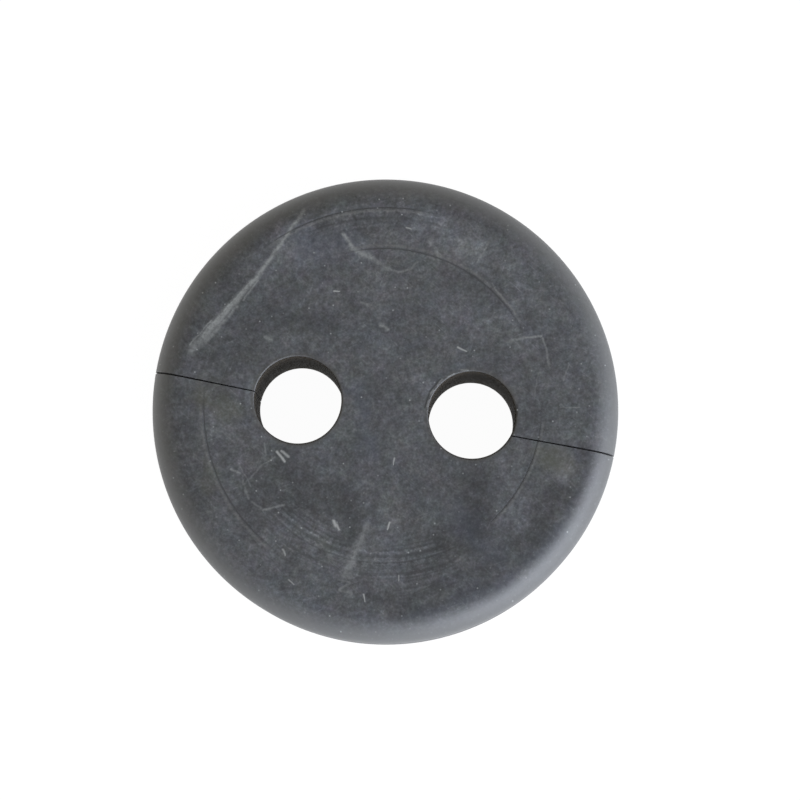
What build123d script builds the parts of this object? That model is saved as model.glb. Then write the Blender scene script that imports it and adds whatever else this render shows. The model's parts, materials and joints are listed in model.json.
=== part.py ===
from build123d import *
import os

# A round rubber grommet with two cable holes, moulded in one piece.
# Two rounded flanges stand either side of a seat groove, which takes the edge of a panel.
# A knife cut runs from each hole out to the rim, so that a cable can be laid in from the side.
# Sizes are in millimetres. +Z is up along the axis, the two holes lie on X,
# and the origin is the centre of the lower face.

# Body
OUTER_DIAMETER = 50.8
OVERALL_HEIGHT = 12.7
FACE_RADIUS = 22.1  # where the flat face turns into the rounded edge

# Seat groove
SEAT_DIAMETER = 38.1
SEAT_WIDTH = 3.2
TOE_IN = 0.25  # each flange leans this much over the seat at its tip, to grip the panel
SEAT_ROOT_RADIUS = 0.5
FLANGE_TIP_RADIUS = 0.8

# Cable holes
HOLE_DIAMETER = 9.4
HOLE_PITCH = 18.9
HOLE_LIP_RADIUS = 0.3

# Knife cuts: which hole, the Y at which the cut would pass the hole's centre, and its direction in degrees
CUTS = (
    (-1, -0.01, 173.4),
    (1, -1.46, -5.4),
)
CUT_WIDTH_IN_HOLE = 0.1
CUT_WIDTH_AT_RIM = 0.2

# Fine lines that the mould left on the upper face: centre in X and Y, radius, start and sweep in degrees
MOULD_LINES = (
    (-0.2, 0.25, 17.1, 0.0, 360.0),
    (-0.6, -0.1, 19.0, 178.0, 117.0),
    (0.0, 0.0, 21.85, 37.0, 127.0),
)
MOULD_LINE_WIDTH = 0.36
MOULD_LINE_DEPTH = 0.05


def section():
    """Half of the cross-section, from the axis to the rim, in the XZ plane."""
    rim = OUTER_DIAMETER / 2
    seat = SEAT_DIAMETER / 2
    seat_low = (OVERALL_HEIGHT - SEAT_WIDTH) / 2
    seat_high = seat_low + SEAT_WIDTH
    with BuildSketch(Plane.XZ) as half:
        with BuildLine():
            Polyline(
                (0, 0),
                (rim, 0),
                (rim, seat_low + TOE_IN),
                (seat, seat_low),
                (seat, seat_high),
                (rim, seat_high - TOE_IN),
                (rim, OVERALL_HEIGHT),
                (0, OVERALL_HEIGHT),
                close=True,
            )
        make_face()
        corners = half.vertices()
        faces = (0, OVERALL_HEIGHT)
        at_rim = [v for v in corners if abs(v.X - rim) < 0.01]
        outer = [v for v in at_rim if min(abs(v.Y - z) for z in faces) < 0.01]
        tips = [v for v in at_rim if min(abs(v.Y - z) for z in faces) > 0.01]
        roots = [v for v in corners if abs(v.X - seat) < 0.01]
        fillet(outer, rim - FACE_RADIUS)
        fillet(tips, FLANGE_TIP_RADIUS)
        fillet(roots, SEAT_ROOT_RADIUS)
    return half.sketch


def cable_hole_lips(body):
    """The circular edges where the cable holes meet the two faces."""
    rims = body.edges().filter_by(GeomType.CIRCLE)
    return [e for e in rims if abs(e.radius - HOLE_DIAMETER / 2) < 0.01]


def cable_hole(side):
    """The round space of one cable hole."""
    upright = (Align.CENTER, Align.CENTER, Align.MIN)
    bore = Cylinder(HOLE_DIAMETER / 2, OVERALL_HEIGHT, align=upright)
    return Location((side * HOLE_PITCH / 2, 0, 0)) * bore


def knife_cut(side, y, direction):
    """The thin wedge of space that a cut opens, from inside its hole to just beyond the rim."""
    reach = (OUTER_DIAMETER - HOLE_PITCH) / 2 + 1
    wedge = Polygon(
        (0, -CUT_WIDTH_IN_HOLE / 2),
        (reach, -CUT_WIDTH_AT_RIM / 2),
        (reach, CUT_WIDTH_AT_RIM / 2),
        (0, CUT_WIDTH_IN_HOLE / 2),
        align=None,
    )
    return Location((side * HOLE_PITCH / 2, y, 0), (0, 0, direction)) * extrude(wedge, OVERALL_HEIGHT)


def mould_line(x, y, radius, start, sweep):
    """The V-shaped ridge of the mould that presses one fine line into the upper face."""
    tooth = Polygon(
        (radius, -MOULD_LINE_DEPTH),
        (radius + MOULD_LINE_WIDTH, MOULD_LINE_DEPTH),
        (radius - MOULD_LINE_WIDTH, MOULD_LINE_DEPTH),
        align=None,
    )
    ridge = revolve(Plane.XZ * tooth, Axis.Z, revolution_arc=sweep)
    return Location((x, y, OVERALL_HEIGHT), (0, 0, start)) * ridge


def grommet():
    """The whole moulding, with its holes, knife cuts and mould lines."""
    body = revolve(section(), Axis.Z)
    body -= [cable_hole(side) for side in (-1, 1)]
    body = fillet(cable_hole_lips(body), HOLE_LIP_RADIUS)
    body -= [mould_line(*line) for line in MOULD_LINES]
    body -= [knife_cut(*cut) for cut in CUTS]
    return body


os.makedirs("parts", exist_ok=True)
part = grommet()
export_step(part, "parts/rubber_grommet.step")
print("solids", len(part.solids()), "volume", round(part.volume, 1), "mm3")
print("size", part.bounding_box().size)
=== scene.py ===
import json
import math

import bmesh
import bpy
from mathutils import Matrix, Quaternion, Vector


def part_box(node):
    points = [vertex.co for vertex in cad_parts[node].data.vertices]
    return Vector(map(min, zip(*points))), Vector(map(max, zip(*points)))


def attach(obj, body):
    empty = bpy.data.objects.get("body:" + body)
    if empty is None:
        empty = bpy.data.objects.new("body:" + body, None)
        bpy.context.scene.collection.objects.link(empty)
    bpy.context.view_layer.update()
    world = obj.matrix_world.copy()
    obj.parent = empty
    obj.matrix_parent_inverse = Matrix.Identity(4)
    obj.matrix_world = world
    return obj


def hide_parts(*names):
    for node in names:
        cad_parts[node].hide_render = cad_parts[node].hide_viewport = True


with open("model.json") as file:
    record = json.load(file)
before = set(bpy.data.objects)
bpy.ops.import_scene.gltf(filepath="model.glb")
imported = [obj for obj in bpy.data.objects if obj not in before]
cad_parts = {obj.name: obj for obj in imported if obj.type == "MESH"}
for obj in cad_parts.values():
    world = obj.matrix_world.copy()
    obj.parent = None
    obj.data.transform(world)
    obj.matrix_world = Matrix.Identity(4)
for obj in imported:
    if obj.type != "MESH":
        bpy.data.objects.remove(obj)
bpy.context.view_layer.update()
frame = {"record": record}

# A round rubber grommet with two cable holes, and a knife cut from each hole out to the rim.
# The piece is shaped in millimetres and then scaled to metres, and its patterns read millimetres too.
MM = 0.001

# Sizes that the frame gives
low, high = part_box("rubber_grommet")
mounts = {mount["name"]: mount for mount in frame["record"]["mounts"]}
RIM = (high.x - low.x) / 2 / MM
HEIGHT = high.z / MM
SEAT = mounts["panel_seat"]["dims"]["r_mm"]
SEAT_WIDTH = mounts["panel_seat"]["dims"]["length_mm"]
HOLE = mounts["cable_hole_right"]["dims"]["r_mm"]
HOLE_X = mounts["cable_hole_right"]["pos_m"][0] / MM

# Rounded edges of the moulding
EDGE_RADIUS = 3.3
TOE_IN = 0.25
FLANGE_TIP_RADIUS = 0.8
SEAT_ROOT_RADIUS = 0.5
LIP_RADIUS = 0.3
TURNS = 256  # steps in a full turn of the body
HOLE_TURNS = 128  # and of a hole

# Knife cuts: which hole, the Y at which the cut would pass the hole's centre, and its direction in degrees
CUTS = (
    (-1, -0.01, 173.4),
    (1, -1.46, -5.4),
)
CUT_WIDTH_IN_HOLE = 0.1
CUT_WIDTH_AT_RIM = 0.2

# Where painted shade darkens each cut and widens its gap: the near and far end of each stretch, measured
# from the hole's centre
CUT_SHADE_STRETCHES = ((5.6, 6.1), (6.9, 7.7), (9.2, 9.8), (11.4, 12.4), (13.9, 15.4))
CUT_SHADE_WIDTHS = (0.14, 0.2)  # half widths of a stretch at its ends
CUT_SHADE_STRENGTH = 0.5

# Fine lines that the mould left on the upper face: centre in X and Y, radius, start and sweep in degrees
MOULD_LINES = (
    (-0.2, 0.25, 17.1, 0.0, 360.0),
    (-0.6, -0.1, 19.0, 178.0, 117.0),
    (0.0, 0.0, 21.85, 37.0, 127.0),
)
MOULD_LINE_WIDTH = 0.36
MOULD_LINE_DEPTH = 0.05
LINE_FADE = 10.0  # degrees over which an open line runs out at each end, or a crisp stretch wears away
LINE_WORN = 0.15  # how much of its depth a line keeps where it is worn
LINE_LEAST = 0.05  # how much of it an open line keeps at its very ends
LINE_SHADE_WIDTH = 0.17  # half width of the painted shade in a line
LINE_HIGHLIGHT_OFFSETS = (0.3, 0.3, -0.32)  # how far outside each line its painted highlight lies
LINE_HIGHLIGHT_WIDTH = 0.24  # half width of a painted highlight

# Where each line is still crisp: the first and last angle of each stretch, about the line's centre
CRISP_STRETCHES = (
    ((42, 100), (-36, -8)),
    ((186, 230),),
    ((88, 124),),
)

# Pale marks on the upper face: the points that each follows, its half width at both ends, and its strength
PALE_MARKS = (
    # the long scuff at the left: one streak at first, then several side by side that spread and fray
    (((-10.6, 20.8), (-12.6, 17.2), (-14.6, 13.8), (-16.2, 11.4)), 0.4, 0.5, 0.5),
    (((-11.4, 19.4), (-12.6, 17.2), (-14.6, 13.8), (-15.8, 12.0)), 0.26, 0.4, 0.95),
    (((-15.5, 12.5), (-18.6, 8.2), (-20.2, 6.1)), 0.5, 0.95, 0.85),
    (((-20.0, 6.4), (-21.4, 4.5)), 0.9, 0.9, 0.5),
    (((-15.7, 12.4), (-18.7, 8.4), (-20.4, 6.1)), 0.22, 0.42, 1.0),
    (((-16.9, 9.6), (-18.9, 6.9), (-20.0, 5.5)), 0.3, 0.5, 0.6),
    (((-15.0, 12.6), (-16.3, 10.4)), 0.16, 0.2, 0.6),
    (((-19.6, 7.8), (-21.6, 5.0)), 0.16, 0.2, 0.7),
    # the scuff in the shape of a hook under the upper edge
    (((-6.1, 18.5), (-5.0, 16.9), (-2.9, 16.1)), 0.36, 0.55, 0.8),
    (((-2.9, 16.1), (-1.3, 15.2), (0.2, 14.8)), 0.44, 0.24, 0.36),
    (((0.2, 14.8), (1.3, 15.2), (2.1, 16.0)), 0.18, 0.22, 0.4),
    # the bent scratch at the right
    (((12.6, 8.3), (14.4, 8.9)), 0.3, 0.22, 0.4),
    (((14.4, 8.9), (16.2, 9.2)), 0.2, 0.25, 0.65),
    (((16.4, 9.0), (17.3, 6.2)), 0.2, 0.26, 0.45),
    # the soft upright scuff below the centre, and the small zigzag under it
    (((-0.7, -12.9), (-1.7, -15.6), (-2.6, -18.3)), 0.6, 1.0, 0.4),
    (((-1.3, -14.2), (-2.2, -17.0)), 0.24, 0.3, 0.5),
    (((-3.4, -18.9), (-2.0, -19.2), (-3.1, -20.0), (-1.8, -20.3)), 0.2, 0.24, 0.4),
    # the loop at the lower left
    (((-11.4, -6.4), (-12.9, -7.6), (-14.4, -9.6)), 0.14, 0.2, 0.3),
    (((-14.6, -9.2), (-13.8, -11.0)), 0.2, 0.26, 0.3),
    (((-13.4, -11.4), (-12.1, -12.2)), 0.22, 0.2, 0.3),
    (((-12.1, -12.2), (-9.9, -11.4)), 0.2, 0.22, 0.5),
    (((-12.6, -5.0), (-12.3, -6.3)), 0.12, 0.16, 0.35),
    (((-15.2, -7.4), (-13.6, -9.8)), 0.14, 0.14, 0.25),
    # short scratches
    (((9.6, 18.9), (8.6, 16.6)), 0.22, 0.18, 0.45),
    (((10.4, 14.4), (13.2, 11.4)), 0.16, 0.16, 0.35),
    (((18.8, 1.6), (21.0, 1.9)), 0.14, 0.12, 0.4),
    (((-1.3, 8.9), (-0.4, 8.5)), 0.4, 0.3, 0.6),
    (((-13.6, 6.5), (-12.9, 6.3)), 0.4, 0.3, 0.5),
    (((-15.9, -8.1), (-15.0, -8.4)), 0.24, 0.2, 0.6),
    (((-3.6, 11.2), (-2.6, 10.9)), 0.22, 0.3, 0.4),
    (((3.2, 18.6), (4.2, 17.2)), 0.4, 0.3, 0.35),
    (((16.2, 5.2), (16.0, 2.6)), 0.14, 0.14, 0.25),
    (((19.4, 6.4), (19.0, 4.6)), 0.14, 0.14, 0.3),
    # flecks on the torn lip of the right hole
    (((4.5, 0.5), (4.6, 1.1)), 0.14, 0.16, 0.5),
    (((4.8, 1.9), (5.1, 2.4)), 0.18, 0.14, 0.6),
    (((5.4, 2.9), (5.9, 3.5)), 0.12, 0.18, 0.5),
    (((6.4, 3.9), (7.1, 4.3)), 0.16, 0.12, 0.6),
    (((7.8, 4.7), (8.6, 4.8)), 0.12, 0.16, 0.5),
)

# Nicks, where a corner of something bit off the bloom: told in the same way
NICKS = (
    (((-11.2, -5.8), (-10.2, -6.8)), 0.28, 0.2, 0.8),
    (((-10.7, -5.7), (-9.9, -6.2)), 0.2, 0.26, 0.6),
    (((-4.4, -12.7), (-4.2, -13.2)), 0.3, 0.34, 0.8),
    (((-4.1, -13.1), (-3.8, -13.6)), 0.3, 0.2, 0.7),
    (((1.5, -5.4), (1.5, -6.1)), 0.16, 0.1, 0.7),
    (((1.6, -12.4), (1.4, -13.1)), 0.17, 0.13, 0.8),
    (((3.1, -17.9), (3.1, -18.5)), 0.15, 0.1, 0.5),
    (((-0.5, -20.3), (-0.3, -21.0)), 0.17, 0.1, 0.7),
    (((-9.6, -16.3), (-9.3, -16.8)), 0.2, 0.14, 0.5),
    (((-6.6, 12.2), (-6.0, 12.2)), 0.16, 0.12, 0.8),
    (((7.3, 7.2), (8.2, 6.8)), 0.2, 0.13, 0.7),
    (((0.6, 19.7), (1.1, 19.6)), 0.15, 0.12, 0.6),
    (((-8.7, -19.5), (-8.1, -19.9)), 0.18, 0.12, 0.5),
)

# Dark marks: the line inside the torn lip of the right hole, the nick at its right, and pits
DARK_MARKS = (
    (((5.7, 3.6), (4.7, 2.2), (4.3, 0.4)), 0.14, 0.16, 0.9),
    (((14.2, 1.5), (14.3, 0.4)), 0.2, 0.14, 0.9),
    (((-5.2, 22.7), (-5.1, 22.6)), 0.2, 0.2, 0.6),
    (((-5.2, 20.5), (-4.9, 20.1)), 0.26, 0.2, 0.7),
    (((14.6, -17.9), (14.7, -18.0)), 0.16, 0.16, 0.6),
    (((3.6, -21.9), (3.7, -22.0)), 0.16, 0.16, 0.6),
    (((-11.9, 18.1), (-11.5, 18.3)), 0.16, 0.12, 0.5),
)

# Broad patches where the bloom is thinner and the rubber darker, told in the same way; two of them are
# bands of painted shade along the bright edge on the lamp's side
DARK_PATCHES = (
    (((-18.6, 4.6), (-12.6, 8.4), (-8.0, 8.0)), 3.8, 3.0, 0.6),
    (((-13.6, -14.0), (-11.0, -8.6), (-5.0, -9.6), (-2.6, -13.0)), 3.4, 3.6, 0.8),
    (((-12.2, -11.8), (-6.8, -12.4)), 3.2, 2.8, 0.9),
    (((10.6, -8.4), (12.2, -12.2)), 4.2, 4.0, 1.15),
    (((10.6, -14.4), (4.4, -15.4)), 3.0, 4.4, 0.8),
    # painted shade along the inner side of the bright edge, on the lamp's side
    (((3.0, -22.6), (14.8, -17.6), (20.8, -9.7), (22.8, -3.2)), 1.8, 1.6, 0.8),
    (((-4.5, 20.4), (-1.0, 19.2)), 1.8, 2.2, 0.5),
    (((-17.2, 13.2), (-20.6, 6.4)), 2.6, 2.6, 0.5),
    (((-21.6, -1.0), (-20.6, -7.6), (-16.6, -14.0)), 2.0, 2.4, 0.4),
    # painted shade just inside the bright edge, on the lamp's side
    (((19.6, -7.0), (17.2, -12.0), (12.6, -16.2), (6.6, -19.0), (0.6, -20.4)), 2.0, 2.4, 0.8),
    (((3.4, 10.6), (8.0, 8.4)), 2.6, 2.4, 0.3),
    (((15.4, 3.4), (14.8, -7.4)), 1.8, 2.2, 0.3),
)

# Broad patches where the bloom is thicker and the rubber paler
PALE_PATCHES = (
    (((4.6, 20.2), (9.2, 18.0), (13.4, 14.4), (11.4, 10.6)), 3.8, 3.4, 1.0),
    (((14.0, 15.0), (17.2, 10.6)), 2.8, 2.8, 0.9),
    (((19.6, 9.6), (20.0, 7.0)), 2.6, 2.4, 0.6),
    (((20.4, 0.0), (19.8, -4.6)), 2.4, 2.4, 0.7),
    (((-18.4, 0.2), (-17.4, -3.4)), 2.4, 2.4, 0.2),
    (((-1.0, 6.6), (3.6, 2.6), (2.6, -2.6)), 3.4, 2.6, 0.4),
    (((-1.2, -13.4), (-2.0, -17.4)), 1.8, 1.8, 0.3),
    (((-12.4, 17.4), (-8.6, 17.6), (-4.6, 16.4)), 3.0, 2.6, 0.9),
)

# Where a turning tool's fine rings, copied from the mould, still show
TURNED_BANDS = (
    (((-9.6, -13.8), (-1.0, -17.0), (7.4, -15.6)), 3.4, 3.2, 1.0),
    (((-9.0, 20.0), (-2.0, 20.8), (4.0, 20.6)), 2.6, 2.4, 0.8),
)

# Olive stains beside the knife cuts, and bluish ones
OLIVE_STAINS = (
    (((-20.2, 0.4), (-16.8, -2.6)), 1.8, 2.4, 0.8),
    (((17.4, -3.4), (20.4, -4.2)), 1.6, 1.6, 1.0),
    (((-18.6, -7.0), (-18.0, -9.6)), 1.2, 1.2, 0.5),
)
BLUE_STAINS = (
    (((-11.0, 17.6), (-5.6, 18.0)), 2.8, 3.0, 0.7),
    (((-2.6, 1.6), (-1.2, -4.6)), 1.6, 1.6, 0.6),
    (((8.8, -9.6), (13.0, -15.0)), 2.6, 2.6, 0.6),
    (((6.0, -22.2), (14.8, -17.6), (20.8, -9.7)), 2.0, 1.6, 0.4),
)

# Patterns in the rubber's skin
CLOUD_SIZE = 8.0  # the largest patches of the bloom
GRAIN_SIZE = 0.5  # the fine grain over it
TINT_SIZE = 2.8  # the drift of its colour
BLOOM_COLOUR = "#505254"
BLOOM_SHADE = -1.1  # doublings of that colour before the patterns add theirs: below nought, it is halved
RING_SPACING = 0.38  # turning marks, a little coarser than real ones
RING_WANDER = 0.7  # how far those rings stray with the clouds of the bloom
DUST_SPACING = 1.3
SPECK_RADIUS = 0.117  # a speck is brightest over a third of this, and fades out
HAIRLINE_LENGTH = 3.0
HAIRLINE_WIDTH = 0.14  # a little wider than real ones
HAIRLINE_ANGLES = (28, 74, 143)
STREAK_LENGTH = 3.0  # on the walls of the cable holes
STREAK_WIDTH = 0.4

# Camera, found from the outline, the tilt of the hole walls and the slope of the line between the holes
CAMERA_AZIMUTH = 10.4
CAMERA_ELEVATION = 84.65
CAMERA_ROLL = -5.4
CAMERA_DISTANCE = 356.6
CAMERA_LENS = 148.5
AIM_RIGHT = 1.63  # how far the camera looks past the upper face's centre, along the picture's width
AIM_UP = 0.81  # and along its height

# Light: a room that is warm and dimmer on one side, cool and brighter on the side of the lamp
WARM_SIDE = "#FFF7E8"
WARM_LEVEL = 0.5
COOL_SIDE = "#EDF2FF"
COOL_LEVEL = 0.67
LAMP_COLOUR = "#EEF3FF"
LAMP_AZIMUTH = -36.0
LAMP_ELEVATION = 20.0
LAMP_DISTANCE = 420.0
LAMP_WIDTH = 600.0
LAMP_HEIGHT = 280.0
LAMP_LEVEL = 5.4


def linear(hex_colour):
    """An sRGB hex colour as linear RGBA."""
    parts = [int(hex_colour[i:i + 2], 16) / 255 for i in (1, 3, 5)]
    return [c / 12.92 if c <= 0.04045 else ((c + 0.055) / 1.055) ** 2.4 for c in parts] + [1.0]


def direction(azimuth, elevation):
    """The unit vector that points that many degrees round from +X and above the floor."""
    a, e = math.radians(azimuth), math.radians(elevation)
    return Vector((math.cos(a) * math.cos(e), math.sin(a) * math.cos(e), math.sin(e)))


def new_piece(name, bm):
    """A piece from a bmesh, with its faces turned outwards."""
    bmesh.ops.recalc_face_normals(bm, faces=bm.faces)
    mesh = bpy.data.meshes.new(name)
    bm.to_mesh(mesh)
    bm.free()
    piece = bpy.data.objects.new(name, mesh)
    bpy.context.scene.collection.objects.link(piece)
    return piece


def apply_modifiers(piece):
    """Makes what the piece's modifiers do part of its mesh."""
    graph = bpy.context.evaluated_depsgraph_get()
    finished = bpy.data.meshes.new_from_object(piece.evaluated_get(graph))
    piece.modifiers.clear()
    piece.data = finished


def cut_away(piece, cutter):
    """Takes the cutter's space out of the piece."""
    boolean = piece.modifiers.new("cut", "BOOLEAN")
    boolean.operation = "DIFFERENCE"
    boolean.solver = "EXACT"
    boolean.object = cutter
    apply_modifiers(piece)
    bpy.data.objects.remove(cutter)


def rounded_outline(corners, roundings):
    """An outline in XZ, open towards the axis, where its first and last corner lie.

    Each rounding gives the numbers of its corners, a radius and a number of steps.
    """
    bm = bmesh.new()
    verts = [bm.verts.new((r, 0, z)) for r, z in corners]
    bm.faces.new(verts)
    for numbers, radius, steps in roundings:
        bmesh.ops.bevel(
            bm,
            geom=[verts[i] for i in numbers],
            affect="VERTICES",
            offset=radius,
            offset_type="OFFSET",
            segments=steps,
            profile=0.5,
            material=-1,
        )
    ends = [verts[0], verts[-1]]
    bmesh.ops.delete(bm, geom=ends, context="VERTS")
    return bm


def turn(bm, angle=math.tau, steps=TURNS):
    """Spins everything in the bmesh about Z."""
    bmesh.ops.spin(
        bm,
        geom=bm.verts[:] + bm.edges[:] + bm.faces[:],
        cent=(0, 0, 0),
        axis=(0, 0, 1),
        dvec=(0, 0, 0),
        angle=angle,
        steps=steps,
        use_merge=angle == math.tau,
        use_duplicate=False,
    )


def close_ends(bm):
    """Fills the round openings that the spin of an open outline leaves."""
    rims = [e for e in bm.edges if e.is_boundary]
    bmesh.ops.holes_fill(bm, edges=rims, sides=0)


def body():
    """The two flanges and the seat groove between them."""
    groove_low = (HEIGHT - SEAT_WIDTH) / 2
    groove_high = groove_low + SEAT_WIDTH
    corners = (
        (0, 0),
        (RIM, 0),
        (RIM, groove_low + TOE_IN),
        (SEAT, groove_low),
        (SEAT, groove_high),
        (RIM, groove_high - TOE_IN),
        (RIM, HEIGHT),
        (0, HEIGHT),
    )
    roundings = (
        ((1, 6), EDGE_RADIUS, 14),
        ((2, 5), FLANGE_TIP_RADIUS, 6),
        ((3, 4), SEAT_ROOT_RADIUS, 4),
    )
    bm = rounded_outline(corners, roundings)
    turn(bm)
    close_ends(bm)
    return new_piece("moulded_grommet", bm)


def hole_cutter(x):
    """The space of a cable hole, which flares at both faces to leave a rounded lip."""
    proud = 0.01
    over = 1.0
    corners = (
        (0, -over),
        (HOLE + LIP_RADIUS, -over),
        (HOLE + LIP_RADIUS, -proud),
        (HOLE, -proud),
        (HOLE, HEIGHT + proud),
        (HOLE + LIP_RADIUS, HEIGHT + proud),
        (HOLE + LIP_RADIUS, HEIGHT + over),
        (0, HEIGHT + over),
    )
    just_short = 0.99  # of the flare, so that a rounding doesn't run into the next corner
    bm = rounded_outline(corners, (((3, 4), LIP_RADIUS * just_short, 5),))
    turn(bm, steps=HOLE_TURNS)
    close_ends(bm)
    bmesh.ops.translate(bm, verts=bm.verts, vec=(x, 0, 0))
    return new_piece("hole", bm)


def knife(side, y, towards):
    """The thin wedge that a knife cut opens, from inside its hole to beyond the rim."""
    reach = RIM - HOLE_X + 1
    over = 1.0
    bm = bmesh.new()
    outline = (
        (0, -CUT_WIDTH_IN_HOLE / 2),
        (reach, -CUT_WIDTH_AT_RIM / 2),
        (reach, CUT_WIDTH_AT_RIM / 2),
        (0, CUT_WIDTH_IN_HOLE / 2),
    )
    blade = bm.faces.new([bm.verts.new((x, across, -over)) for x, across in outline])
    raised = bmesh.ops.extrude_face_region(bm, geom=[blade])
    top = [v for v in raised["geom"] if isinstance(v, bmesh.types.BMVert)]
    bmesh.ops.translate(bm, verts=top, vec=(0, 0, HEIGHT + 2 * over))
    place = Matrix.Translation((side * HOLE_X, y, 0)) @ Matrix.Rotation(math.radians(towards), 4, "Z")
    bmesh.ops.transform(bm, matrix=place, verts=bm.verts)
    return new_piece("knife", bm)


def crispness(angle, stretches):
    """How deep a mould line is at an angle, from worn to 1 inside its crisp stretches."""
    best = 0.0
    for first, last in stretches:
        middle = (first + last) / 2
        away = abs((angle - middle + 180) % 360 - 180) - (last - first) / 2
        best = max(best, 1 - max(0.0, away) / LINE_FADE)
    return LINE_WORN + (1 - LINE_WORN) * best


def mould_line(x, y, radius, start, sweep, stretches):
    """The V-shaped ridge of the mould that leaves one fine line. An open line runs out at its ends."""
    bm = bmesh.new()
    tooth = (
        (radius, -MOULD_LINE_DEPTH),
        (radius + MOULD_LINE_WIDTH, MOULD_LINE_DEPTH),
        (radius - MOULD_LINE_WIDTH, MOULD_LINE_DEPTH),
    )
    bm.faces.new([bm.verts.new((r, 0, z)) for r, z in tooth])
    closed = sweep == 360.0
    if closed:
        # a full ring has no ends, so nothing closes them
        bmesh.ops.delete(bm, geom=bm.faces[:], context="FACES_ONLY")
    turn(bm, math.radians(sweep), round(TURNS * sweep / 360))
    for vert in bm.verts:
        along = math.degrees(math.atan2(vert.co.y, vert.co.x)) % 360
        deep = crispness(start + along, stretches)
        if not closed:
            deep *= min(1.0, along / LINE_FADE, (sweep - along) / LINE_FADE)
        vert.co.z += (1 - LINE_LEAST) * MOULD_LINE_DEPTH * (1 - max(0.0, deep))
    place = Matrix.Translation((x, y, HEIGHT)) @ Matrix.Rotation(math.radians(start), 4, "Z")
    bmesh.ops.transform(bm, matrix=place, verts=bm.verts)
    return new_piece("line", bm)


def finish_normals(piece):
    """Smooth faces with crisp cut edges. Large faces keep their own direction beside rounded edges."""
    sharp_from = math.radians(28)
    mesh = piece.data
    mesh.polygons.foreach_set("use_smooth", [True] * len(mesh.polygons))
    mesh.set_sharp_from_angle(angle=sharp_from)
    weighted = piece.modifiers.new("normals", "WEIGHTED_NORMAL")
    weighted.keep_sharp = True
    apply_modifiers(piece)


def grommet():
    """The whole moulding with its holes, mould lines and knife cuts, in metres."""
    piece = body()
    for x in (-HOLE_X, HOLE_X):
        cut_away(piece, hole_cutter(x))
    for line, stretches in zip(MOULD_LINES, CRISP_STRETCHES):
        cut_away(piece, mould_line(*line, stretches))
    for cut in CUTS:
        cut_away(piece, knife(*cut))
    piece.data.transform(Matrix.Scale(MM, 4))
    finish_normals(piece)
    return piece


def add(tree, kind, sources=None, out=0, **settings):
    """Adds a node, with its settings and with values or links for its sockets, and gives one output.

    A Mix node of colours takes its factor in socket 0 and its colours in 6 and 7, and gives output 2.
    """
    node = tree.nodes.new(kind)
    for name, value in settings.items():
        setattr(node, name, value)
    for socket, source in (sources or {}).items():
        if isinstance(source, bpy.types.NodeSocket):
            tree.links.new(source, node.inputs[socket])
        else:
            node.inputs[socket].default_value = source
    return node.outputs[out]


def new_material(name):
    """An empty node material and its output node."""
    material = bpy.data.materials.new(name)
    material.use_nodes = True
    tree = material.node_tree
    tree.nodes.clear()
    return material, tree, tree.nodes.new("ShaderNodeOutputMaterial")


def stroke_brush():
    """A node group that paints one straight stroke on a canvas.

    The canvas is a vector: X and Y say which place it is, and Z is the tone there so far. The tone is
    read by a dot product, because a node that splits the vector makes the renderer hold X and Y too.
    """
    brush = bpy.data.node_groups.new("stroke_brush", "ShaderNodeTree")
    sockets = (
        ("Canvas", "NodeSocketVector"),
        ("Start", "NodeSocketVector"),
        ("End", "NodeSocketVector"),
        ("Start Width", "NodeSocketFloat"),
        ("End Width", "NodeSocketFloat"),
        ("Strength", "NodeSocketFloat"),
    )
    for name, kind in sockets:
        brush.interface.new_socket(name, in_out="INPUT", socket_type=kind)
    brush.interface.new_socket("Painted", in_out="OUTPUT", socket_type="NodeSocketVector")
    given = brush.nodes.new("NodeGroupInput").outputs
    result = brush.nodes.new("NodeGroupOutput")
    line = add(brush, "ShaderNodeVectorMath", {0: given["End"], 1: given["Start"]}, operation="SUBTRACT")
    place = add(brush, "ShaderNodeVectorMath", {0: given["Canvas"], 1: (1, 1, 0)}, operation="MULTIPLY")
    reach = add(brush, "ShaderNodeVectorMath", {0: place, 1: given["Start"]}, operation="SUBTRACT")
    along = add(brush, "ShaderNodeVectorMath", {0: reach, 1: line}, out="Value", operation="DOT_PRODUCT")
    whole = add(brush, "ShaderNodeVectorMath", {0: line, 1: line}, out="Value", operation="DOT_PRODUCT")
    share = add(brush, "ShaderNodeMath", {0: along, 1: whole}, operation="DIVIDE", use_clamp=True)
    nearest = add(brush, "ShaderNodeVectorMath", {0: line, 3: share}, operation="SCALE")
    gap = add(brush, "ShaderNodeVectorMath", {0: reach, 1: nearest}, out="Value", operation="DISTANCE")
    width = add(brush, "ShaderNodeMapRange", {0: share, 3: given["Start Width"], 4: given["End Width"]})
    mask = add(
        brush,
        "ShaderNodeMapRange",
        {0: gap, 1: 0.0, 2: width, 3: given["Strength"], 4: 0.0},
        interpolation_type="SMOOTHSTEP",
    )
    before = add(
        brush,
        "ShaderNodeVectorMath",
        {0: given["Canvas"], 1: (0, 0, 1)},
        out="Value",
        operation="DOT_PRODUCT",
    )
    tone = add(brush, "ShaderNodeMath", {0: mask, 1: before}, operation="MAXIMUM")
    tone = add(brush, "ShaderNodeCombineXYZ", {"Z": tone})
    painted = add(brush, "ShaderNodeVectorMath", {0: place, 1: tone}, operation="ADD")
    brush.links.new(painted, result.inputs["Painted"])
    return brush


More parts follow.
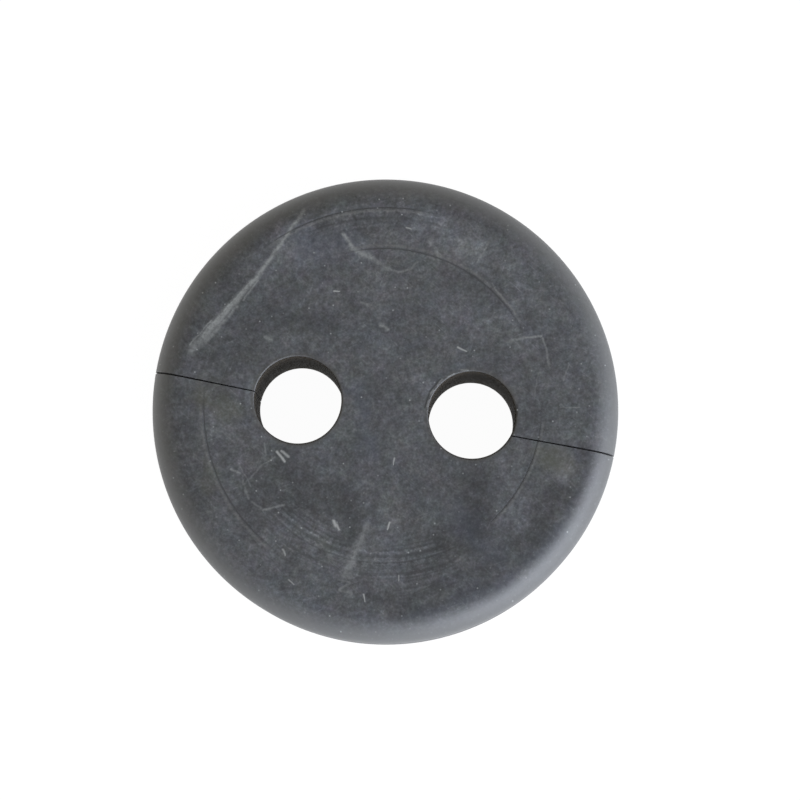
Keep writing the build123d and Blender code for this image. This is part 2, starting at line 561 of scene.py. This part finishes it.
def strokes(tree, brush, canvas, marks):
    """Paints a list of marks on a blank canvas: where strokes overlap, the stronger one counts.

    Gives their tone, and the canvas wiped blank for the next list, so that one list follows another
    and the renderer never holds the values of many strokes at once.
    """
    for points, first_width, last_width, strength in marks:
        spans = len(points) - 1
        for i in range(spans):
            widths = [first_width + (last_width - first_width) * k / spans for k in (i, i + 1)]
            canvas = add(
                tree,
                "ShaderNodeGroup",
                {
                    "Canvas": canvas,
                    "Start": (*points[i], 0),
                    "End": (*points[i + 1], 0),
                    "Start Width": widths[0],
                    "End Width": widths[1],
                    "Strength": strength,
                },
                node_tree=brush,
            )
    tone = add(
        tree,
        "ShaderNodeVectorMath",
        {0: canvas, 1: (0, 0, 1)},
        out="Value",
        operation="DOT_PRODUCT",
    )
    return tone, add(tree, "ShaderNodeVectorMath", {0: canvas, 1: (1, 1, 0)}, operation="MULTIPLY")


def cut_shade_marks():
    """Painted shade here and there along the two knife cuts on the upper face, as marks."""
    marks = []
    for side, y, towards in CUTS:
        along = direction(towards, 0)
        for stretch in CUT_SHADE_STRETCHES:
            ends = [(side * HOLE_X + along.x * far, y + along.y * far) for far in stretch]
            marks.append((ends, *CUT_SHADE_WIDTHS, CUT_SHADE_STRENGTH))
    return tuple(marks)


def line_shade_and_highlight(tree, flat):
    """Two masks along the crisp stretches of the mould lines: painted shade in each, and a painted
    highlight beside it.
    """
    line_shade = line_highlight = 0.0
    for (x, y, radius, _, _), stretches, side in zip(MOULD_LINES, CRISP_STRETCHES, LINE_HIGHLIGHT_OFFSETS):
        around = add(tree, "ShaderNodeVectorMath", {0: flat, 1: (x, y, 0)}, operation="SUBTRACT")
        from_centre = add(tree, "ShaderNodeVectorMath", {0: around}, out="Value", operation="LENGTH")
        heading = add(tree, "ShaderNodeVectorMath", {0: around}, operation="NORMALIZE")
        crisp = 0.0
        for first, last in stretches:
            heart = direction((first + last) / 2, 0)
            ends = [math.cos(math.radians((last - first) / 2 + fade)) for fade in (LINE_FADE, 0)]
            near = add(
                tree,
                "ShaderNodeVectorMath",
                {0: heading, 1: heart},
                out="Value",
                operation="DOT_PRODUCT",
            )
            near = add(tree, "ShaderNodeMapRange", {0: near, 1: ends[0], 2: ends[1]})
            crisp = add(tree, "ShaderNodeMath", {0: near, 1: crisp}, operation="MAXIMUM")
        bands = []
        for middle, half_width in ((radius, LINE_SHADE_WIDTH), (radius + side, LINE_HIGHLIGHT_WIDTH)):
            gap = add(tree, "ShaderNodeMath", {0: from_centre, 1: middle}, operation="SUBTRACT")
            gap = add(tree, "ShaderNodeMath", {0: gap}, operation="ABSOLUTE")
            band = add(tree, "ShaderNodeMapRange", {0: gap, 1: 0.0, 2: half_width, 3: 1.0, 4: 0.0})
            bands.append(add(tree, "ShaderNodeMath", {0: band, 1: crisp}, operation="MULTIPLY"))
        line_shade = add(tree, "ShaderNodeMath", {0: bands[0], 1: line_shade}, operation="MAXIMUM")
        line_highlight = add(tree, "ShaderNodeMath", {0: bands[1], 1: line_highlight}, operation="MAXIMUM")
    return line_shade, line_highlight


def wandering(tree, flat, size, reach):
    """The flat place moved this way and that in bends of that size, so that what is drawn strays."""
    wander = add(
        tree,
        "ShaderNodeTexNoise",
        {"Vector": flat, "Scale": 1 / size, "Detail": 2.0},
        out="Color",
    )
    wander = add(tree, "ShaderNodeVectorMath", {0: wander, 1: (0.5, 0.5, 0.5)}, operation="SUBTRACT")
    wander = add(tree, "ShaderNodeVectorMath", {0: wander, 1: (reach, reach, 0)}, operation="MULTIPLY")
    return add(tree, "ShaderNodeVectorMath", {0: flat, 1: wander})


def painted_lists(tree, flat):
    """The tone of each list of patches and marks, in the order in which they are painted here."""
    brush = stroke_brush()
    ragged = wandering(tree, flat, size=5.0, reach=6.0)
    unsteady = wandering(tree, flat, size=1.2, reach=0.4)
    tones = []
    for canvas, lists in (
        (ragged, (DARK_PATCHES, PALE_PATCHES, TURNED_BANDS, OLIVE_STAINS, BLUE_STAINS)),
        (unsteady, (PALE_MARKS, NICKS)),
        # the last list is the dark marks, and the painted shade along the knife cuts
        (flat, (DARK_MARKS + cut_shade_marks(),)),
    ):
        for marks in lists:
            tone, canvas = strokes(tree, brush, canvas, marks)
            tones.append(tone)
    return tones


def turning_marks(tree, from_axis, cloud, masks):
    """Uneven rings about the axis, where the masks let them show."""
    uneven = add(
        tree,
        "ShaderNodeMath",
        {0: cloud, 1: RING_WANDER, 2: from_axis},
        operation="MULTIPLY_ADD",
    )
    rings = add(
        tree,
        "ShaderNodeTexNoise",
        {"W": uneven, "Scale": 1 / RING_SPACING, "Detail": 1.0},
        noise_dimensions="1D",
    )
    shown = add(tree, "ShaderNodeMath", {0: rings, 1: 0.5}, operation="SUBTRACT")
    for mask in masks:
        shown = add(tree, "ShaderNodeMath", {0: shown, 1: mask}, operation="MULTIPLY")
    return shown


def hairline_scratches(tree, flat):
    """Fine scratches in three directions: a noise drawn out along each of them."""
    hairlines = 0.0
    for angle in HAIRLINE_ANGLES:
        combed = add(
            tree,
            "ShaderNodeMapping",
            {
                "Vector": flat,
                "Location": (angle, 0, 0),
                "Rotation": (0, 0, math.radians(angle)),
                "Scale": (HAIRLINE_LENGTH, HAIRLINE_WIDTH, 1),
            },
            vector_type="TEXTURE",
        )
        combed = add(tree, "ShaderNodeTexNoise", {"Vector": combed, "Scale": 1.0, "Detail": 1.0})
        combed = add(tree, "ShaderNodeMapRange", {0: combed, 1: 0.62, 2: 0.8})
        hairlines = add(tree, "ShaderNodeMath", {0: combed, 1: hairlines}, operation="MAXIMUM")
    return hairlines


def dust_specks(tree, flat):
    """Specks of pale dust, one to a cell of the pattern: most are faint, and a few stand out."""
    cells = add(
        tree,
        "ShaderNodeTexVoronoi",
        {"Vector": flat, "Scale": 1 / DUST_SPACING},
        out="Distance",
        voronoi_dimensions="2D",
    )
    outer = SPECK_RADIUS / DUST_SPACING
    chance = add(tree, "ShaderNodeSeparateColor", {0: cells.node.outputs["Color"]}, out="Red")
    strength = add(tree, "ShaderNodeMapRange", {0: chance, 1: 0.85, 2: 1.0, 3: 0.1, 4: 0.75})
    speck = add(tree, "ShaderNodeMapRange", {0: cells, 1: outer / 3, 2: outer, 3: 1.0, 4: 0.0})
    return add(tree, "ShaderNodeMath", {0: speck, 1: strength}, operation="MULTIPLY")


def bloom_clouds(tree, point, from_axis):
    """Clouds of every size from the largest to a thirtieth of it, plain and as they show in the bloom."""
    cloud = add(
        tree,
        "ShaderNodeTexNoise",
        {"Vector": point, "Scale": 1 / CLOUD_SIZE, "Detail": 5.0, "Roughness": 0.9},
    )
    bloom = add(tree, "ShaderNodeMath", {0: cloud, 1: 0.5}, operation="SUBTRACT")

    # They are weaker on the rounded edge
    weight = add(tree, "ShaderNodeMapRange", {0: from_axis, 1: RIM - 4.4, 2: RIM - 2.0, 3: 3.5, 4: 2.7})
    return cloud, add(tree, "ShaderNodeMath", {0: bloom, 1: weight}, operation="MULTIPLY")


def bloom_colour(tree, point, patterns):
    """The bloom's colour. Each pattern, times its weight, is a number of doublings of its brightness."""
    shade = BLOOM_SHADE
    for pattern, weight in patterns:
        shade = add(tree, "ShaderNodeMath", {0: pattern, 1: weight, 2: shade}, operation="MULTIPLY_ADD")
    level = add(tree, "ShaderNodeMath", {0: 2.0, 1: shade}, operation="POWER")
    colour = add(tree, "ShaderNodeVectorMath", {0: linear(BLOOM_COLOUR)[:3], 3: level}, operation="SCALE")

    # The bloom is not quite grey: it drifts by a few hundredths towards slate blue, olive and plum
    drift = add(
        tree,
        "ShaderNodeTexNoise",
        {"Vector": point, "Scale": 1 / TINT_SIZE, "Detail": 4.0, "Roughness": 0.9},
        out="Color",
    )
    drift = add(
        tree,
        "ShaderNodeVectorMath",
        {0: drift, 1: (0.34, 0.3, 0.4), 2: (0.83, 0.85, 0.8)},
        operation="MULTIPLY_ADD",
    )
    return add(tree, "ShaderNodeVectorMath", {0: colour, 1: drift}, operation="MULTIPLY")


def layered(tree, colour, layers):
    """The colour with layers over it, from the first to the last. Each is a mask and its tint."""
    for mask, tint in layers:
        colour = add(
            tree,
            "ShaderNodeMix",
            {0: mask, 6: colour, 7: linear(tint)},
            out=2,
            data_type="RGBA",
        )
    return colour


def rubber():
    """Aged black rubber, compression moulded.

    A grey bloom, patchy and scuffed, lies over a dark and faintly glossy body.
    """
    material, tree, output = new_material("aged_moulded_rubber")
    metres = add(tree, "ShaderNodeTexCoord", out="Object")
    point = add(tree, "ShaderNodeVectorMath", {0: metres, 3: 1 / MM}, operation="SCALE")
    flat = add(tree, "ShaderNodeVectorMath", {0: point, 1: (1, 1, 0)}, operation="MULTIPLY")
    height = add(tree, "ShaderNodeSeparateXYZ", {0: point}, out="Z")
    from_axis = add(tree, "ShaderNodeVectorMath", {0: flat}, out="Value", operation="LENGTH")
    from_hole = 2 * RIM  # farther than any place is
    for x in (-HOLE_X, HOLE_X):
        far = add(tree, "ShaderNodeVectorMath", {0: flat, 1: (x, 0, 0)}, out="Value", operation="DISTANCE")
        from_hole = add(tree, "ShaderNodeMath", {0: far, 1: from_hole}, operation="MINIMUM")

    # What the bloom is made of
    cloud, bloom = bloom_clouds(tree, point, from_axis)
    grain = add(
        tree,
        "ShaderNodeTexNoise",
        {"Vector": point, "Scale": 1 / GRAIN_SIZE, "Detail": 2.0, "Roughness": 0.9},
    )
    broken = add(tree, "ShaderNodeMapRange", {0: grain, 1: 0.34, 2: 0.62, 3: 0.5, 4: 1.0})
    dark, pale, turned, olive, blue, scuffs, nicks, pits_and_cut_shade = painted_lists(tree, flat)
    rings = turning_marks(tree, from_axis, cloud, (turned, broken))
    hairlines = hairline_scratches(tree, flat)
    patterns = (
        (bloom, 1.0),
        (grain, 2.0),
        # the dark patches, with the painted shade on the lamp's side
        (dark, -0.75),
        (pale, 0.5),
        (rings, 2.8),
        (hairlines, 0.5),
    )
    colour = bloom_colour(tree, point, patterns)

    # What lies over it: grime and a painted sheen make the rounded edge a paler grey, and dirt browns the
    # lips of the holes
    grime_and_sheen = add(tree, "ShaderNodeMapRange", {0: from_axis, 1: RIM - 2.6, 2: RIM - 0.8, 4: 0.75})
    lips = add(tree, "ShaderNodeMapRange", {0: from_hole, 1: HOLE + 0.6, 2: HOLE + 0.2, 4: 0.55})
    line_shade, line_highlight = line_shade_and_highlight(tree, flat)
    dust = dust_specks(tree, flat)
    olive = add(tree, "ShaderNodeMath", {0: olive, 1: 0.3}, operation="MULTIPLY")
    blue = add(tree, "ShaderNodeMath", {0: blue, 1: 0.3}, operation="MULTIPLY")
    line_shade = add(tree, "ShaderNodeMath", {0: line_shade, 1: 0.75}, operation="MULTIPLY")
    line_highlight = add(tree, "ShaderNodeMath", {0: line_highlight, 1: 0.4}, operation="MULTIPLY")

    # The grain breaks up the scuffs, the dirt on the lips, the pits, and the painted shade and highlights
    # of the lines and cuts
    scuffs, line_highlight, line_shade, lips, pits_and_cut_shade = [
        add(tree, "ShaderNodeMath", {0: mask, 1: broken}, operation="MULTIPLY")
        for mask in (scuffs, line_highlight, line_shade, lips, pits_and_cut_shade)
    ]

    # The hidden lower side has none of these marks, but for the grime and painted sheen of the edge
    upper = add(
        tree,
        "ShaderNodeMapRange",
        {0: height, 1: HEIGHT - EDGE_RADIUS, 2: HEIGHT - EDGE_RADIUS / 2},
        interpolation_type="SMOOTHSTEP",
    )
    olive, blue, lips, scuffs, line_highlight, nicks, line_shade, pits_and_cut_shade, dust = [
        add(tree, "ShaderNodeMath", {0: mask, 1: upper}, operation="MULTIPLY")
        for mask in (olive, blue, lips, scuffs, line_highlight, nicks, line_shade, pits_and_cut_shade, dust)
    ]
    layers = (
        (olive, "#5A5A42"),
        (blue, "#434C5E"),
        # grime, and a painted sheen that lightens the rounded edge
        (grime_and_sheen, "#696A69"),
        (lips, "#45423C"),
        (scuffs, "#8C8F8D"),
        # painted highlight beside the mould lines
        (line_highlight, "#72726E"),
        (nicks, "#A9ABA8"),
        # painted shade in the mould lines
        (line_shade, "#2B2C2C"),
        # pits, and painted shade along the knife cuts
        (pits_and_cut_shade, "#202122"),
        (dust, "#A2A5A4"),
    )
    rough = add(tree, "ShaderNodeMapRange", {0: grain, 3: 0.4, 4: 0.56})
    bump = add(tree, "ShaderNodeBump", {"Height": grain, "Distance": 0.02 * MM, "Strength": 0.5})
    shader = add(
        tree,
        "ShaderNodeBsdfPrincipled",
        {
            "Base Color": layered(tree, colour, layers),
            "Roughness": rough,
            "IOR": 1.52,
            "Sheen Weight": 0.06,
            "Sheen Roughness": 0.25,
            "Normal": bump,
        },
    )
    tree.links.new(shader, output.inputs["Surface"])
    return material


def hole_wall_streaks_and_shade():
    """Walls of the cable holes: matt rubber, painted brown-black for the shade inside the holes, and
    streaked along the hole.
    """
    material, tree, output = new_material("hole_wall_streaks_and_painted_shade")
    metres = add(tree, "ShaderNodeTexCoord", out="Object")
    point = add(tree, "ShaderNodeVectorMath", {0: metres, 3: 1 / MM}, operation="SCALE")

    # The streaks run up the wall
    shares = (1 / STREAK_WIDTH, 1 / STREAK_WIDTH, 1 / STREAK_LENGTH)
    drawn_out = add(tree, "ShaderNodeVectorMath", {0: point, 1: shares}, operation="MULTIPLY")
    streaks = add(
        tree,
        "ShaderNodeTexNoise",
        {"Vector": drawn_out, "Scale": 1.0, "Detail": 3.0, "Roughness": 0.7},
    )
    shade = add(tree, "ShaderNodeMapRange", {0: streaks, 1: 0.3, 2: 0.7})
    # The brown-black is painted shade inside the holes, and the streaks vary it
    colour = add(
        tree,
        "ShaderNodeMix",
        {0: shade, 6: linear("#19150F"), 7: linear("#3B3429")},
        out=2,
        data_type="RGBA",
    )
    rough = add(tree, "ShaderNodeMapRange", {0: shade, 3: 0.8, 4: 0.95})
    bump = add(tree, "ShaderNodeBump", {"Height": streaks, "Distance": 0.03 * MM, "Strength": 0.6})
    shader = add(
        tree,
        "ShaderNodeBsdfPrincipled",
        {"Base Color": colour, "Roughness": rough, "IOR": 1.35, "Normal": bump},
    )
    tree.links.new(shader, output.inputs["Surface"])
    return material


def finish_surfaces(piece):
    """Bloomed rubber all over, and painted shade, brown-black and streaked, on the walls of the cable
    holes.
    """
    piece.data.materials.clear()
    for material in (rubber(), hole_wall_streaks_and_shade()):
        piece.data.materials.append(material)
    for face in piece.data.polygons:
        x, y, _ = face.center / MM
        beside_hole = math.hypot(abs(x) - HOLE_X, y) < HOLE + LIP_RADIUS
        upright = abs(face.normal.z) < 0.5
        if beside_hole and upright:
            face.material_index = 1


def white_floor():
    """A white studio sweep. It bounces light as matt white paper, and shows the camera a soft shadow."""
    material, tree, output = new_material("white_paper_sweep")
    seen = add(tree, "ShaderNodeLightPath", out="Is Camera Ray")
    mirrored = add(tree, "ShaderNodeLightPath", out="Is Glossy Ray")
    looked_at = add(tree, "ShaderNodeMath", {0: seen, 1: mirrored}, operation="MAXIMUM")
    paper = add(tree, "ShaderNodeBsdfDiffuse", {"Color": linear("#E6E6E6")})
    shadow = add(tree, "ShaderNodeBsdfDiffuse", {"Color": linear("#545454")})
    glow = add(tree, "ShaderNodeEmission", {"Color": linear("#FFFFFF"), "Strength": 0.965})
    lifted = add(tree, "ShaderNodeAddShader", {0: shadow, 1: glow})
    surface = add(tree, "ShaderNodeMixShader", {0: looked_at, 1: paper, 2: lifted})
    tree.links.new(surface, output.inputs["Surface"])
    reach = 3000
    just_under = 0.01
    bm = bmesh.new()
    bmesh.ops.create_grid(bm, x_segments=1, y_segments=1, size=reach)
    bmesh.ops.translate(bm, verts=bm.verts, vec=(0, 0, -just_under))
    floor = new_piece("studio_floor", bm)
    floor.data.transform(Matrix.Scale(MM, 4))
    floor.data.materials.append(material)


def pale_room(towards_lamp):
    """A pale room all round, warm away from the lamp and cool on its side. The camera sees it as white."""
    world = bpy.data.worlds.new("pale_room")
    bpy.context.scene.world = world
    world.use_nodes = True
    tree = world.node_tree
    tree.nodes.clear()
    output = tree.nodes.new("ShaderNodeOutputWorld")
    seen = add(tree, "ShaderNodeLightPath", out="Is Camera Ray")
    outward = add(tree, "ShaderNodeTexCoord", out="Generated")
    facing = add(
        tree,
        "ShaderNodeVectorMath",
        {0: outward, 1: towards_lamp},
        out="Value",
        operation="DOT_PRODUCT",
    )
    side = add(tree, "ShaderNodeMapRange", {0: facing, 1: -0.6, 2: 0.9}, interpolation_type="SMOOTHSTEP")
    tint = add(
        tree,
        "ShaderNodeMix",
        {0: side, 6: linear(WARM_SIDE), 7: linear(COOL_SIDE)},
        out=2,
        data_type="RGBA",
    )
    level = add(tree, "ShaderNodeMapRange", {0: side, 3: WARM_LEVEL, 4: COOL_LEVEL})
    room = add(tree, "ShaderNodeBackground", {"Color": tint, "Strength": level})
    white = add(tree, "ShaderNodeBackground", {"Color": linear("#FFFFFF"), "Strength": 1.0})
    shown = add(tree, "ShaderNodeMixShader", {0: seen, 1: room, 2: white})
    tree.links.new(shown, output.inputs["Surface"])


def low_softbox(towards_lamp):
    """One large soft lamp, low at one side, which gives the bright band on the rounded edge."""
    lamp = bpy.data.lights.new("low_softbox", "AREA")
    lamp.shape = "RECTANGLE"
    lamp.size = LAMP_WIDTH * MM
    lamp.size_y = LAMP_HEIGHT * MM
    lamp.energy = LAMP_LEVEL * math.pi * lamp.size * lamp.size_y
    lamp.color = linear(LAMP_COLOUR)[:3]
    softbox = bpy.data.objects.new("low_softbox", lamp)
    softbox.location = towards_lamp * LAMP_DISTANCE * MM
    softbox.rotation_euler = towards_lamp.to_track_quat("Z", "Y").to_euler()
    bpy.context.scene.collection.objects.link(softbox)


def photo_camera():
    """The camera stands almost over the grommet, a little towards -Y."""
    data = bpy.data.cameras.new("photo_camera")
    data.lens = CAMERA_LENS
    data.sensor_width = 36.0
    camera = bpy.data.objects.new("photo_camera", data)
    back = direction(CAMERA_AZIMUTH - 90, CAMERA_ELEVATION)
    turned = back.to_track_quat("Z", "Y") @ Quaternion((0, 0, 1), math.radians(CAMERA_ROLL))
    across = turned @ Vector((1, 0, 0))
    upward = turned @ Vector((0, 1, 0))
    target = Vector((0, 0, HEIGHT)) + across * AIM_RIGHT + upward * AIM_UP
    camera.location = (target + back * CAMERA_DISTANCE) * MM
    camera.rotation_euler = turned.to_euler()
    data.clip_start = 0.01
    data.clip_end = 20.0
    bpy.context.scene.collection.objects.link(camera)
    bpy.context.scene.camera = camera


piece = grommet()
finish_surfaces(piece)
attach(piece, "root")
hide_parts("rubber_grommet")

towards_lamp = direction(LAMP_AZIMUTH, LAMP_ELEVATION)
white_floor()
pale_room(towards_lamp)
low_softbox(towards_lamp)
photo_camera()
bpy.context.scene.view_settings.view_transform = "Standard"
